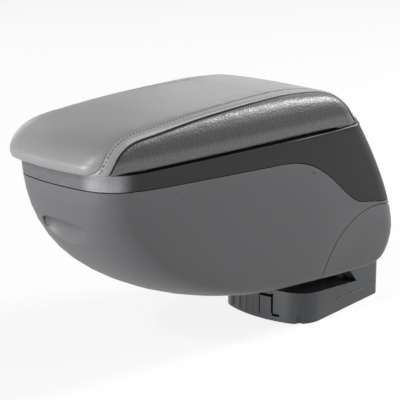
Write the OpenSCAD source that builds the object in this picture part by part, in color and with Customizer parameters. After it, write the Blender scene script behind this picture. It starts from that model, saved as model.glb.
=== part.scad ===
// Car centre armrest with a lidded storage box, a tilting hinge and a screw-down adapter.
// Heights z are measured from the pad's base plane and lengths y from the pad's front corners;
// place() then moves everything so that the adapter's underside is the frame's zero.

/* [Placement] */
// height of the box's underside above the adapter's underside
stand_h = 40; // [36:1:46]
// distance of the mount centre behind the pad's front corners
mount_y = 285; // [275:1:295]

/* [Outer Form] */
// half width of the shells at the front
half_w_front = 55; // [50:0.5:60]
// half width of the shells at the rear
half_w_rear = 66; // [60:0.5:72]
// level of the lid's rim below the pad's base plane
rim_drop = 2; // [1:0.5:4]
// horizontal half axis of the curved belly
belly_len = 196; // [190:1:202]
// vertical half axis of the curved belly
belly_drop = 136; // [128:1:144]
// how far the sides draw in towards the underside
side_tuck = 3; // [0:0.5:7]
// radius between the sides and the underside
edge_r = 7; // [5:0.5:12]
// plan radius of the front corners at the rim
corner_r = 25; // [18:1:32]
// growth of the front corner radius down to the underside
corner_grow = 26; // [10:1:28]
// plan radius of the rear corners
rear_r = 22; // [16:1:28]
// half angle of the bowed front
bow_front = 10; // [6:1:14]
// half angle of the bowed rear
bow_rear = 9; // [6:1:12]

/* [Shell Walls] */
// wall of the box and lid mouldings
wall = 2.6; // [2:0.1:3.5]
// visible gap between two mouldings
seam_gap = 0.8; // [0.5:0.1:1.4]

/* [Knuckle] */
// radius of the arc between the box and the hinge housing
arc_r = 66; // [64:0.5:68]
// length position of the arc's centre
arc_y = 309; // [307:0.5:311]
// depth of the arc's centre below the underside
arc_drop = 9.5; // [8:0.5:11]
// length position of the tilt axis
tilt_y = 326; // [325:0.5:327]
// height of the tilt axis above the underside
tilt_up = 21; // [20:0.5:22]
// radius of the tilt axle
axle_r = 6; // [4:0.5:7]

/* [Lid] */
// height of the lid hinge's axis
lid_axis_z = -72.5; // [-73:0.5:-71]
// radius of the lid hinge's barrel
barrel_r = 3.5; // [3.3:0.1:3.8]
// radius of the lid hinge's pin
hinge_pin_r = 1.25; // [1:0.05:1.5]
// depth of the finger recess
recess_depth = 8; // [6:0.5:8.5]
// half width of the finger recess
recess_w = 25; // [22:0.5:27]
// how far the lid's upper edge stands out at the rear
lip = 0.8; // [0.4:0.1:1.2]
// thickness of the lid's deck
deck_t = 3; // [2:0.5:4]

/* [Cushion] */
// half width of the pad at the front
pad_w_front = 57; // [54:0.5:60]
// half width of the pad at the rear
pad_w_rear = 67.5; // [64:0.5:70]
// overhang of the pad in front of its corners
pad_front = 13.5; // [8:0.5:18]
// rear end of the pad
pad_rear = 293; // [286:1:296]
// height of the pad at its crown
pad_crown = 33.5; // [29:0.5:38]
// how much lower the pad is at its front
pad_fall = 8; // [5:0.5:12]
// how much lower the pad is near its rear
pad_tail = 5.1; // [2:0.1:7]

/* [Storage Bin] */
// half width of the bin
bin_w = 45; // [38:1:46]
// rear wall of the bin
bin_rear = 228; // [200:1:230]
// height of the bin's floor above the underside
bin_gap = 22; // [20:1:40]
// wall of the bin
bin_wall = 1.8; // [1.4:0.1:2.4]

/* [Adapter] */
// height of the adapter's front
adapter_h = 28.5; // [26:0.5:31]
// half width of the adapter at the front
adapter_w = 48.7; // [44:0.1:50]
// half width of the adapter at the rear
adapter_w_rear = 38.6; // [36:0.1:40]
// front of the adapter
adapter_front = 222.6; // [220:0.2:228]
// rear of the adapter
adapter_rear = 355; // [354:0.5:360]
// radius of the mounting screw holes
screw_hole_r = 2.75; // [2.25:0.25:3.5]
// spacing of the mounting holes across
screw_dx = 40; // [36:2:44]
// spacing of the mounting holes along
screw_dy = 40; // [34:2:44]
// distance of the hole pattern's centre in front of the mount centre
screw_fore = 10; // [8:1:14]

/* [Hidden] */
under_z = -rim_drop - belly_drop;
recess_z = -54;
pad_base_h = stand_h - under_z;
belly_y = belly_len - 4.2;
heel_y = 322;
heel_z = under_z + 30;
full_z = heel_z + 3;
arc_z = under_z - arc_drop;
tilt_z = under_z + tilt_up;
bin_floor = under_z + bin_gap;
foot_y = arc_y - arc_r - 3;
foot_len = 25;
fix_y = 295.5;
seat_y = tilt_y - 20;
seat_len = 43;
bin_fix = [bin_rear - 60, bin_rear - 14];
arm_fix = [foot_y - 20, foot_y - 6];
nf = 3;
nc = 6;
ns = 8;
arm_x = 34;
arm_t = 4;
lid_axis_y = rear_y(lid_axis_z, 0) - barrel_r;
plate_t = 3;
deck_z = -rim_drop - deck_t - 3.2;
leaf_z = arc_z + arc_r + seam_gap + wall - 0.3;
base_z = -pad_base_h;

// plan outline helpers

function lerp(a, b, t) = a + (b - a) * t;

// right half of a rounded outline with bowed ends, from the front centre to the rear centre
function half_plan(yf, yr, wf, wr, rf, rr, af, ar, bulge) =
    let (s = atan((wr - wf) / (yr - yf)),
        cx = wf - rf * cos(s),
        sx = cx + rf * sin(af),
        fr = sx / sin(af),
        cy = yf + fr * (1 - cos(af)) + rf * cos(af),
        dx = wr - rr * cos(s),
        tr = (dx + rr * sin(ar)) / sin(ar),
        dy = yr - tr * (1 - cos(ar)) - rr * cos(ar),
        ex = cx + rf * cos(s),
        ey = cy - rf * sin(s),
        gx = dx + rr * cos(s),
        gy = dy - rr * sin(s))
    concat(
        [for (i = [0:nf]) [fr * sin(af * i / nf), yf + fr * (1 - cos(af * i / nf))]],
        [for (i = [1:nc]) let (a = lerp(af, 90 - s, i / nc)) [cx + rf * sin(a), cy - rf * cos(a)]],
        [for (i = [1:ns - 1]) let (u = i / ns) [lerp(ex, gx, u) + bulge * 4 * u * (1 - u), lerp(ey, gy, u)]],
        [for (i = [0:nc]) let (a = lerp(-s, 90 - ar, i / nc)) [dx + rr * cos(a), dy + rr * sin(a)]],
        [for (i = [nf - 1:-1:0]) [tr * sin(ar * i / nf), yr - tr * (1 - cos(ar * i / nf))]]);

function full_plan(h) = concat(h, [for (i = [len(h) - 2:-1:1]) [-h[i][0], h[i][1]]]);

// closed solid through a list of [z, plan] sections, lowest first
module loft(sections) {
    n = len(sections[0][1]);
    m = len(sections);
    pts = [for (s = sections) for (p = s[1]) [p[0], p[1], s[0]]];
    sides = [for (k = [0:m - 2]) for (i = [0:n - 1]) let (j = (i + 1) % n, a = k * n, b = (k + 1) * n)
        each [[a + i, b + i, b + j], [a + i, b + j, a + j]]];
    polyhedron(points = pts, faces = concat(sides, [[for (i = [0:n - 1]) i]],
        [[for (i = [n - 1:-1:0]) (m - 1) * n + i]]), convexity = 6);
}

// outer form shared by the lid, the box and the hinge housing

function below(z) = min(1, max(0, (-rim_drop - z) / belly_drop));
function front_y(z, t) = belly_y - (belly_len - t)
    * pow(max(0, 1 - pow(max(0, -rim_drop - z) / (belly_drop - t), 2.44)), 1 / 1.82);
function rear_y(z, t) = z > -rim_drop ? 295 - t
    : z > full_z ? 295 + 55 * (1 - pow((z - full_z) / (-rim_drop - full_z), 1.4)) - t
    : z > heel_z ? 350 - t
    : heel_y + (28 - t) * sqrt(max(0, 1 - pow((heel_z - z) / (heel_z - under_z - t), 2)));
function edge_in(z, t) = let (r = edge_r - t, u = min(1, max(0, (under_z + edge_r - z) / r))) r * (1 - sqrt(1 - u * u));
function tuck(z) = side_tuck * pow(below(z), 2);
function form_plan(z, t) = full_plan(half_plan(front_y(z, t), rear_y(z, t),
    half_w_front - tuck(z) - t - edge_in(z, t), half_w_rear - tuck(z) - t - edge_in(z, t),
    corner_r + corner_grow * below(z) - t, rear_r - t, bow_front, bow_rear, 1.5));
function form_levels(t, n) = [for (i = [n:-1:0]) -rim_drop - (belly_drop - t) * sin(90 * i / n)];

// slab of the outer form between two levels, inset by t
module form(t, low, high, n) {
    inner = [for (z = form_levels(t, n)) if (z > low + 0.8 && z < high - 0.8) z];
    levels = concat([max(low, under_z + t)], inner, [high]);
    loft([for (z = levels) [z, form_plan(z, t)]]);
}

// parting line between lid and box in side view
function ease(u) = let (v = min(1, max(0, u))) v * v * (3 - 2 * v);
function part_z(y) = -14.2 - 3.9 * ease((y + 25) / 75) - 0.032 * max(0, min(y, 345) - 20)
    - 48 * ease(pow(max(0, y - 175) / 117, 1.65)) - 4.6 * ease((y - 285) / 48);
part_line = concat([[-60, part_z(-60)]], [for (y = [-20:20:180]) [y, part_z(y)]],
    [for (y = [188:6:296]) [y, part_z(y)]], [[306, part_z(306)], [318, part_z(318)], [400, part_z(400)]]);

module side_prism(points, w) {
    translate([-w, 0, 0])
        rotate([90, 0, 90])
            linear_extrude(2 * w)
                polygon(points);
}

// band in side view between two offsets of the pad's underside line
pad_stations = [for (y = [-60:10:380]) y];
module pad_band(low, high) {
    side_prism(concat([for (y = pad_stations) [y, pad_low(y) + low]],
        [for (i = [len(pad_stations) - 1:-1:0]) [pad_stations[i], high > 50 ? high : pad_low(pad_stations[i]) + high]]), 90);
}

module above_parting(shift) {
    side_prism(concat([for (p = part_line) [p[0], p[1] + shift]], [[400, 60], [-60, 60]]), 90);
}

module below_parting(shift) {
    side_prism(concat([for (p = part_line) [p[0], p[1] + shift]], [[400, -160], [-60, -160]]), 90);
}

module across(y, z, r, w) {
    translate([-w, y, z])
        rotate([0, 90, 0])
            cylinder(r = r, h = 2 * w, $fn = 96);
}

module along_x(x0, x1, y, z, r) {
    translate([x0, y, z])
        rotate([0, 90, 0])
            cylinder(r = r, h = x1 - x0, $fn = 48);
}

module block(x0, x1, y0, y1, z0, z1) {
    translate([x0, y0, z0])
        cube([x1 - x0, y1 - y0, z1 - z0]);
}

module post(x, y, z0, z1, r) {
    translate([x, y, z0])
        cylinder(r = r, h = z1 - z0, $fn = 32);
}

module both_sides() {
    children();
    mirror([1, 0, 0]) children();
}

module place() {
    translate([0, -mount_y, pad_base_h]) children();
}

// screw with a domed head below or above its shank; head_dir is 1 for a head on top
module screw(x, y, z, r, len, head_dir) {
    translate([x, y, z])
        rotate([head_dir > 0 ? 0 : 180, 0, 0]) {
            translate([0, 0, -len]) cylinder(r = r, h = len + 0.2, $fn = 24);
            difference() {
                cylinder(r1 = 2 * r, r2 = 1.5 * r, h = 1.3 * r, $fn = 32);
                translate([-r, -0.2 * r, 0.7 * r]) cube([2 * r, 0.4 * r, r]);
                translate([-0.2 * r, -r, 0.7 * r]) cube([0.4 * r, 2 * r, r]);
            }
        }
}

// lid assembly

// level of the pad's underside at a length position, and of its crown line
function pad_low(y) = -3.2 * ease((y + 5) / 45) + 1.6 * ease((y - 240) / 50);
function pad_high(y) = pad_crown - pad_fall * pow(max(0, 150 - y) / 160, 1.8) - pad_tail * pow(max(0, y - 190) / 60, 1.5);

// one ring of the pad: h is its share of the height, s its width, f and r its insets at the front and rear
function pad_ring(h, s, f, r) = [for (p = full_plan(half_plan(-pad_front + f, pad_rear - r, pad_w_front * s, pad_w_rear * s,
    max(8, 24 - f * 0.2), max(8, 22 - r * 0.15), 11, 10, 0.5))) [p[0], p[1], lerp(pad_low(p[1]), pad_high(p[1]), h)]];

module cushion() {
    color("dimgray") place() difference() {
        rings = [[for (p = pad_ring(0, 0.935, 7, 7)) [p[0], p[1], -6]], pad_ring(0.08, 0.99, 1, 0.5),
            pad_ring(0.25, 1, 0, 7), pad_ring(0.5, 0.995, 4, 14), pad_ring(0.7, 0.975, 11, 21.5),
            pad_ring(0.84, 0.93, 20, 28), pad_ring(0.92, 0.86, 31, 34.5), pad_ring(0.965, 0.74, 50, 45),
            pad_ring(0.99, 0.5, 82, 66)];
        m = len(rings);
        n = len(rings[0]);
        pts = concat([for (r = rings) each r], [[0, 160, pad_high(160)]]);
        polyhedron(points = pts, faces = concat(
            [for (k = [0:m - 2]) for (i = [0:n - 1]) let (j = (i + 1) % n, a = k * n, b = (k + 1) * n)
                each [[a + i, b + i, b + j], [a + i, b + j, a + j]]],
            [[for (i = [0:n - 1]) i]],
            [for (i = [0:n - 1]) [(m - 1) * n + i, m * n, (m - 1) * n + (i + 1) % n]]), convexity = 6);
        // hollowed underside over the board
        pad_band(-30, 0.3);
    }
}

module pad_board() {
    color("black") place()
        difference() {
            intersection() {
                translate([0, 0, -20])
                    linear_extrude(40)
                        polygon(full_plan(half_plan(1, 280, 48, 57, 18, 16, 9, 9, 0.5)));
                pad_band(-rim_drop, 0);
            }
            for (x = [-30, 30])
                for (y = [40, 130, 220])
                    post(x, y, -9, 0.4, 1.5);
        }
}

// narrow bead along the lid's upper edge, growing towards the rear
module rim_lip() {
    intersection() {
        loft([for (z = [-12, -rim_drop]) [z, full_plan(half_plan(front_y(z, 0) + 0.2, rear_y(z, 0) + 0.1,
            half_w_front - tuck(z) - 0.3, half_w_rear - tuck(z) + lip, corner_r + corner_grow * below(z), rear_r,
            bow_front, bow_rear, 1.5))]]);
        pad_band(-rim_drop - 1.5, -rim_drop + 0.01);
    }
}

module lid_shell() {
    color("dimgray") place()
        difference() {
            union() {
                difference() {
                    union() {
                        form(0, -86, -rim_drop, 16);
                        rim_lip();
                    }
                    form(wall, -90, deck_z, 16);
                    pad_band(-rim_drop, 60);
                    below_parting(seam_gap / 2);
                    // the rear lower edge is cut back so that the barrel section can turn
                    difference() {
                        block(-80, 80, lid_axis_y, 380, -90, lid_axis_z);
                        across(lid_axis_y, lid_axis_z, barrel_r, 80);
                    }
                }
                // barrels between the leaf's eyes
                both_sides()
                    along_x(3.5, 26.5, lid_axis_y, lid_axis_z, barrel_r - 0.1);
            }
            along_x(-34, 34, lid_axis_y, lid_axis_z, hinge_pin_r + 0.05);
            for (x = [-30, 0, 30])
                along_x(x - 3.4, x + 3.4, lid_axis_y, lid_axis_z, barrel_r + 0.2);
            for (x = [-30, 30])
                for (y = [40, 130, 220])
                    post(x, y, deck_z - 1, 0, 1.7);
        }
}

module lid_liner() {
    color("gray") place() {
        difference() {
            translate([0, 0, -13])
                linear_extrude(2)
                    polygon(full_plan(half_plan(8, 240, 49.5, 58, 18, 8, 9, 4, 0.5)));
            for (x = [-38, 38])
                for (y = [30, 125, 215])
                    post(x, y, -15, -10, 1.7);
        }
        for (x = [-38, 38])
            for (y = [30, 125, 215])
                difference() {
                    post(x, y, -11, deck_z, 4);
                    post(x, y, -12, deck_z + 1, 1.7);
                }
    }
}

module lid_keeper() {
    color("silver") place()
        block(-10, 10, 9.6, 17, -14, -13);
}

module lid_bumpers() {
    color("black") place()
        both_sides()
            for (y = [32, 190])
                post(45.5, y, -15.8, -13, 2.2);
}

module lid_screws() {
    color("silver") place()
        for (x = [-38, 38])
            for (y = [30, 125, 215])
                screw(x, y, -13, 1.5, 4.6, -1);
}

module board_screws() {
    color("silver") place()
        for (x = [-30, 30])
            for (y = [40, 130, 220])
                screw(x, y, deck_z, 1.4, 4.6, -1);
}

// box assembly

module box_hollow() {
    difference() {
        form(wall, under_z - 2, 4, 16);
        across(arc_y, arc_z, arc_r + seam_gap + wall, 90);
        finger_recess(2.2);
    }
}

module box_shell() {
    color("dimgray") place()
        difference() {
            union() {
                difference() {
                    form(0, under_z - 2, -8, 16);
                    box_hollow();
                }
                // posts under the bin
                for (x = [-12, 12])
                    for (y = bin_fix)
                        post(x, y, under_z + 2, bin_floor, 4.5);
            }
            above_parting(-seam_gap / 2);
            across(arc_y, arc_z, arc_r + seam_gap, 90);
            across(lid_axis_y, lid_axis_z, barrel_r + 0.5, 90);
            // seat of the hinge leaf
            block(-33.2, 33.2, arc_y - 1.2, arc_y + 9.2, leaf_z, leaf_z + 10);
            // slots for the tilt arms
            both_sides()
                block(arm_x - 0.5, arm_x + arm_t + 0.5, foot_y - 8, foot_y + 32, under_z + wall, tilt_z + 17);
            finger_recess(0);
            both_sides()
                for (y = arm_fix)
                    post(arm_x - 6, y, under_z + 0.9, under_z + 12, 2);
            for (x = [-12, 12])
                for (y = bin_fix)
                    post(x, y, under_z + 4, bin_floor + 1, 1.4);
        }
}

// bowl pressed level into the belly, so that it runs out below; grow thickens it into the pocket's own wall
function recess_edge(grow) =
    let (w = recess_w + grow, top = 11 + grow, low = 17.5 + grow)
    [for (i = [0:35]) let (a = 10 * i, c = cos(a), n = sin(a), sq = n > 0 ? 0.6 : 0.8)
        [w * sign(c) * pow(abs(c), sq) * (n < 0 ? 1 - 0.34 * n * n : 1), n > 0 ? top * pow(n, sq) : low * n]];

module finger_recess(grow) {
    depth = recess_depth + grow;
    shares = [0, 0.3, 0.55, 0.75, 0.88, 0.97];
    bowl = concat([for (k = [len(shares) - 1:-1:0]) let (u = shares[k])
            [-depth * u, [for (p = recess_edge(grow)) p * pow(1 - pow(u, 2.3), 0.6) + [0, 2.5 * u]]]],
        [[14, [for (p = recess_edge(grow)) p]]]);
    translate([0, front_y(recess_z, 0) + 0.6, recess_z])
        rotate([97, 0, 0])
            loft(bowl);
}

// the bin's front follows the belly, far enough in to clear its rounded corners
function bin_front(z) = front_y(z, wall) + 12.5 + 15 * below(z);

module bin_solid(t, top) {
    intersection() {
        side_prism(concat([[14 + t, top], [14 + t, -16]],
            [for (u = [0.3:0.14:0.86]) [bin_front(u * (bin_floor + 16) - 16) + t * (1 + 1.1 * u), u * (bin_floor + 16) - 16]],
            [[bin_front(bin_floor) + 2 * t, bin_floor + t], [bin_rear - t, bin_floor + t], [bin_rear - t, top]]), 60);
        translate([0, 0, under_z])
            linear_extrude(-under_z)
                polygon(full_plan(half_plan(14 + t, bin_rear - t, bin_w - t, bin_w - t, 18 - t, 10 - t, 8, 4, 0)));
    }
}

module bin() {
    color("dimgray") place()
        difference() {
            union() {
                bin_solid(0, -16);
                translate([0, 0, -18])
                    linear_extrude(2)
                        polygon(full_plan(half_plan(9, bin_rear + 4, bin_w + 4.5, bin_w + 4.5, 20, 12, 8, 4, 0)));
            }
            bin_solid(bin_wall, 0);
            for (x = [-12, 12])
                for (y = bin_fix)
                    post(x, y, bin_floor - 1, bin_floor + 3, 1.7);
        }
}

module bin_mat() {
    color("black") place()
        difference() {
            translate([0, 0, bin_floor + bin_wall])
                linear_extrude(2)
                    polygon(full_plan(half_plan(bin_front(bin_floor) + 6, bin_rear - 4, bin_w - 4, bin_w - 4, 8, 8, 4, 4, 0)));
            for (x = [-12, 12])
                for (y = bin_fix)
                    post(x, y, bin_floor, bin_floor + 6, 3.4);
        }
}

module bin_screws() {
    color("silver") place()
        for (x = [-12, 12])
            for (y = bin_fix)
                screw(x, y, bin_floor + bin_wall, 1.3, 8, 1);
}

module catch_magnet() {
    color("silver") place()
        block(-9, 9, 10, 15.5, -16, -14.2);
}

module hinge_pin() {
    color("silver") place()
        along_x(-33, 33, lid_axis_y, lid_axis_z, hinge_pin_r);
}

module hinge_leaf() {
    color("silver") place() {
        difference() {
            union() {
                for (x = [-30, 0, 30]) {
                    along_x(x - 3, x + 3, lid_axis_y, lid_axis_z, 2.6);
                    block(x - 3, x + 3, arc_y + 7, lid_axis_y, leaf_z, lid_axis_z - 2);
                }
                block(-33, 33, arc_y - 1, arc_y + 9, leaf_z, leaf_z + 1.5);
            }
            along_x(-40, 40, lid_axis_y, lid_axis_z, hinge_pin_r + 0.05);
        }
    }
}

module tilt_arm(x0) {
    difference() {
        translate([x0, 0, 0])
            rotate([90, 0, 90])
                linear_extrude(arm_t)
                    polygon([[tilt_y + 2, tilt_z + 13], [tilt_y - 26, tilt_z + 12], [foot_y + 30, tilt_z + 10],
                        [foot_y + 12, tilt_z + 3], [foot_y - 2, tilt_z - 4], [foot_y - foot_len + 4, tilt_z - 6],
                        [foot_y - foot_len, tilt_z - 10], [foot_y - foot_len, under_z + wall], [foot_y + 2, under_z + wall],
                        [foot_y + 16, tilt_z - 12.8], [tilt_y - 20, tilt_z - 12.8], [tilt_y, tilt_z - 11],
                        [tilt_y + 10, tilt_z - 6], [tilt_y + 12, tilt_z + 6]]);
        along_x(x0 - 1, x0 + arm_t + 1, tilt_y, tilt_z, axle_r + 1.5);
    }
    difference() {
        block(x0 > 0 ? x0 - 12 : x0 + arm_t, x0 > 0 ? x0 : x0 + arm_t + 12, foot_y - foot_len, foot_y, under_z + wall,
            under_z + wall + 3);
        for (y = arm_fix)
            post(x0 > 0 ? x0 - 6 : x0 + arm_t + 6, y, under_z, under_z + 12, 2);
    }
}

module arm_right() {
    color("silver") place() tilt_arm(arm_x);
}

module arm_left() {
    color("silver") place() tilt_arm(-arm_x - arm_t);
}

module arm_screws() {
    color("silver") place()
        both_sides()
            for (y = arm_fix)
                screw(arm_x - 6, y, under_z + wall + 3, 1.9, 4.5, 1);
}

module arm_bushes() {
    color("white") place()
        both_sides()
            difference() {
                union() {
                    along_x(arm_x - 0.3, arm_x + arm_t + 0.3, tilt_y, tilt_z, axle_r + 1.45);
                    along_x(arm_x - 1.5, arm_x - 0.3, tilt_y, tilt_z, axle_r + 4);
                }
                along_x(arm_x - 3, arm_x + arm_t + 3, tilt_y, tilt_z, axle_r + 0.05);
            }
}

// hinge housing and pedestal

module pivot_housing() {
    color("dimgray") place()
        difference() {
            union() {
                difference() {
                    intersection() {
                        form(0, under_z - 2, lid_axis_z - barrel_r, 16);
                        across(arc_y, arc_z, arc_r, 90);
                    }
                    intersection() {
                        form(wall, under_z - 2, lid_axis_z + 2.5, 16);
                        across(arc_y, arc_z, arc_r - wall, 90);
                    }
                }
                // sockets for the axle's ends
                intersection() {
                    form(1, tilt_z - 13, tilt_z + 13, 16);
                    both_sides()
                        along_x(47, 70, tilt_y, tilt_z, 10);
                }
                for (x = [-20, 20])
                    post(x, fix_y, under_z + 1, under_z + 13, 4);
            }
            both_sides()
                along_x(40, 52.5, tilt_y, tilt_z, axle_r + 0.05);
            // opening for the pedestal
            block(-31.5, 31.5, tilt_y - 14.5, tilt_y + 6, under_z - 7, under_z + 8);
            // slots in which the arms travel
            both_sides()
                block(arm_x - 1, arm_x + arm_t + 1, foot_y - 8, tilt_y + 9.5, under_z + wall, under_z + 68);
            for (x = [-20, 20])
                post(x, fix_y, under_z - 4, under_z + 11.5, 1.55);
        }
}

module pivot_pedestal() {
    color("dimgray") place()
        difference() {
            union() {
                along_x(-31, 31, tilt_y, tilt_z, 14);
                side_prism([[seat_y, base_z + 14], [seat_y, under_z - 9], [seat_y - 6, under_z - 5], [seat_y - 16, under_z - 5],
                    [seat_y - 16, under_z], [tilt_y - 14, under_z], [tilt_y - 14, tilt_z], [tilt_y + 5.5, tilt_z],
                    [tilt_y + 5.5, under_z - 1], [tilt_y + 14, under_z - 4], [seat_y + seat_len, under_z - 7],
                    [seat_y + seat_len, base_z + 14]], 31);
                side_prism([[seat_y - 40, base_z + 14], [seat_y - 40, base_z + 17], [seat_y, under_z - 10],
                    [seat_y, base_z + 14]], 22);
            }
            along_x(-40, 40, tilt_y, tilt_z, axle_r + 0.05);
            // lightening pockets
            both_sides()
                block(5, 25, tilt_y - 10, tilt_y + 2, base_z + 24, under_z + 2);
            for (x = [-20, 20])
                post(x, fix_y, under_z - 8, under_z + 8, 1.55);
            pedestal_fixings(2.1);
        }
}

// four screws that hold the pedestal to the adapter
module pedestal_fixings(r) {
    for (x = [-20, 20])
        for (y = [tilt_y - 12, tilt_y + 16])
            post(x, y, base_z + 1, base_z + 22.2, r);
}

module pivot_axle() {
    color("silver") place()
        difference() {
            along_x(-52, 52, tilt_y, tilt_z, axle_r);
            both_sides()
                along_x(49, 60, tilt_y, tilt_z, 2);
        }
}

module thrust_washers() {
    color("silver") place()
        both_sides()
            difference() {
                union() {
                    along_x(31, arm_x - 1.5, tilt_y, tilt_z, 10);
                    along_x(arm_x + arm_t + 0.3, arm_x + arm_t + 1.8, tilt_y, tilt_z, 10);
                }
                along_x(30, 50, tilt_y, tilt_z, axle_r + 0.05);
            }
}

module spring_washers() {
    color("silver") place()
        both_sides()
            difference() {
                translate([arm_x + arm_t + 1.8, tilt_y, tilt_z])
                    rotate([0, 90, 0])
                        cylinder(r1 = 9.5, r2 = 8.5, h = 1.6, $fn = 48);
                along_x(30, 60, tilt_y, tilt_z, axle_r + 0.05);
            }
}

module axle_nuts() {
    color("silver") place()
        both_sides()
            difference() {
                translate([arm_x + arm_t + 3.4, tilt_y, tilt_z])
                    rotate([0, 90, 0])
                        cylinder(r = 10.4, h = 5, $fn = 6);
                along_x(30, 60, tilt_y, tilt_z, axle_r + 0.02);
            }
}

module housing_screws() {
    color("silver") place()
        both_sides()
            screw(20, fix_y, under_z - 5, 1.5, 14, -1);
}

// adapter

module adapter_plan(t) {
    polygon(full_plan(half_plan(adapter_front + t, adapter_rear - t, adapter_w - t, adapter_w_rear - t, 23.6 - t, 10 - t, 18, 8, 0)));
}

module adapter_top(shift) {
    rise = base_z + adapter_h + shift;
    side_prism([[200, rise], [adapter_front + 8, rise], [adapter_front + 42, rise - 2.3], [seat_y + 7.5, rise - 7.7],
        [seat_y - 11.5, under_z + 1], [200, under_z + 1]], 70);
}

module adapter_body() {
    color("dimgray") place()
        difference() {
            union() {
                difference() {
                    translate([0, 0, base_z + 0.4]) linear_extrude(stand_h - 1.4) adapter_plan(0);
                    adapter_top(0);
                }
                // upright ribs on the front
                for (r = [[-30, 2.4], [-19.5, 2.1], [-10.5, 1.7], [-2.5, 1.3]])
                    post(r[0], adapter_front + pow(r[0], 2) / 207 + 0.6, base_z + 2.6, base_z + adapter_h - 0.6, r[1]);
            }
            // hollow underside over the base plate
            difference() {
                translate([0, 0, base_z - 1]) linear_extrude(adapter_h - 2) adapter_plan(3);
                adapter_top(-3);
                block(-50, 50, seat_y - 6, 380, base_z + plate_t, tilt_z);
                for (x = [-30, 0, 30])
                    post(x, adapter_front + 15, base_z + plate_t, tilt_z, 4);
            }
            // lower rear edge is chamfered
            side_prism([[adapter_rear - 5, base_z - 1], [adapter_rear + 6, base_z + 7], [adapter_rear + 6, base_z - 1]], 70);
            // seat of the pedestal
            block(-31.1, 31.1, seat_y - 0.1, seat_y + seat_len + 0.1, base_z + 14, tilt_z);
            block(-31.1, 31.1, seat_y - 22, seat_y, base_z + adapter_h - 4, tilt_z);
            side_prism([[seat_y - 40.1, base_z + 14], [seat_y - 40.1, base_z + 30], [seat_y, under_z + 8],
                [seat_y, base_z + 14]], 22.1);
            // latch tongue: a slot on each side and an arch over it
            block(5.2, 6.2, adapter_front - 3, adapter_front + 5, base_z + 4, base_z + 22);
            block(18, 20, adapter_front - 3, adapter_front + 6, base_z + 7, base_z + 25);
            block(5.2, 20, adapter_front - 3, adapter_front + 6, base_z + 21.5, base_z + 24);
            block(19, 26, adapter_front - 3, adapter_front + 8, base_z + 4.6, base_z + 7);
            // hook notch low on each corner
            both_sides()
                translate([43.6, adapter_front + 10.4, base_z - 1])
                    rotate([0, 0, 45])
                        cube([4.5, 7, 16], center = true);
            // joint line between the adapter's cover and its foot
            difference() {
                block(-80, 80, seat_y - 28, 400, base_z + 12.1, base_z + 12.8);
                translate([0, 0, base_z]) linear_extrude(20) adapter_plan(0.7);
            }
            pedestal_fixings(2.1);
        }
}

module base_plate() {
    color("silver") place()
        difference() {
            translate([0, 0, base_z]) linear_extrude(plate_t) adapter_plan(3.1);
            for (x = [-1, 1])
                for (y = [-1, 1])
                    post(x * screw_dx / 2, mount_y - screw_fore + y * screw_dy / 2, base_z - 1, base_z + plate_t + 1, screw_hole_r);
            for (x = [-20, 20])
                for (y = [tilt_y - 12, tilt_y + 16])
                    post(x, y, base_z - 1, base_z + 6, 4.4);
        }
}

module pedestal_screws() {
    color("silver") place()
        for (x = [-20, 20])
            for (y = [tilt_y - 12, tilt_y + 16]) {
                post(x, y, base_z + 0.8, base_z + plate_t, 4);
                post(x, y, base_z + plate_t - 0.2, base_z + 22, 2);
            }
}

cushion();
pad_board();
lid_shell();
lid_liner();
lid_keeper();
lid_bumpers();
lid_screws();
board_screws();
box_shell();
bin();
bin_mat();
catch_magnet();
bin_screws();
hinge_leaf();
hinge_pin();
arm_left();
arm_right();
arm_screws();
pivot_housing();
pivot_pedestal();
pivot_axle();
arm_bushes();
thrust_washers();
spring_washers();
axle_nuts();
housing_screws();
adapter_body();
base_plate();
pedestal_screws();
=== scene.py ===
"""Visual model of a car centre armrest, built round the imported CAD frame.

Lengths in the piece classes are in millimetres in the pad's own coordinates, where y = 0 is at
the pad's front corners and z = 0 is the pad's base plane. ``to_frame`` turns them into metres.
"""

import enum
import functools
import logging
import math
from dataclasses import dataclass, field
from typing import Callable, ClassVar, Iterable, Optional, Sequence

import bpy
import numpy as np
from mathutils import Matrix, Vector
from mathutils.bvhtree import BVHTree


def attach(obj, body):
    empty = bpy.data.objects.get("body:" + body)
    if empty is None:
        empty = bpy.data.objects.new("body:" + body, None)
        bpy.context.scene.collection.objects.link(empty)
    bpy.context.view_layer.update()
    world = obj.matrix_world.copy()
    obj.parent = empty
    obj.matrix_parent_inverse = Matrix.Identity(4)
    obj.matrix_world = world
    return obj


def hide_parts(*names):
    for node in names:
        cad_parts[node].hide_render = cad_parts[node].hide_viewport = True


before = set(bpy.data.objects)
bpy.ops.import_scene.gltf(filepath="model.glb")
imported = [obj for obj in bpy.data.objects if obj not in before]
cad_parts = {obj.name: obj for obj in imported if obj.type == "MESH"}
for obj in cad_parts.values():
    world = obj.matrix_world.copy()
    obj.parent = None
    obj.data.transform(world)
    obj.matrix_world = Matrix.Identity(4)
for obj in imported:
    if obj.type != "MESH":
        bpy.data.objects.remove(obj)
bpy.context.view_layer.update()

LOG = logging.getLogger("armrest")
MM = 0.001
PAD_ORIGIN = np.array([0.0, -285.0, 178.0])
ROW_LEVEL = 9.0  # the stitch row's level in the field of distances from the seam
Colour = tuple[float, float, float]
Socket = bpy.types.NodeSocket


class Body(enum.Enum):
    """The moving group that the sewn pieces ride on."""

    LID = "lid"


class Slot(enum.Enum):
    """The record's material slot of the sewn pieces."""

    LEATHER = "pad_leather"


class Panel(enum.IntEnum):
    """Parts of the cover, in the order of its materials."""

    CENTRE = 0
    SIDE = 1
    STRIP = 2
    FOLD = 3


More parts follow.
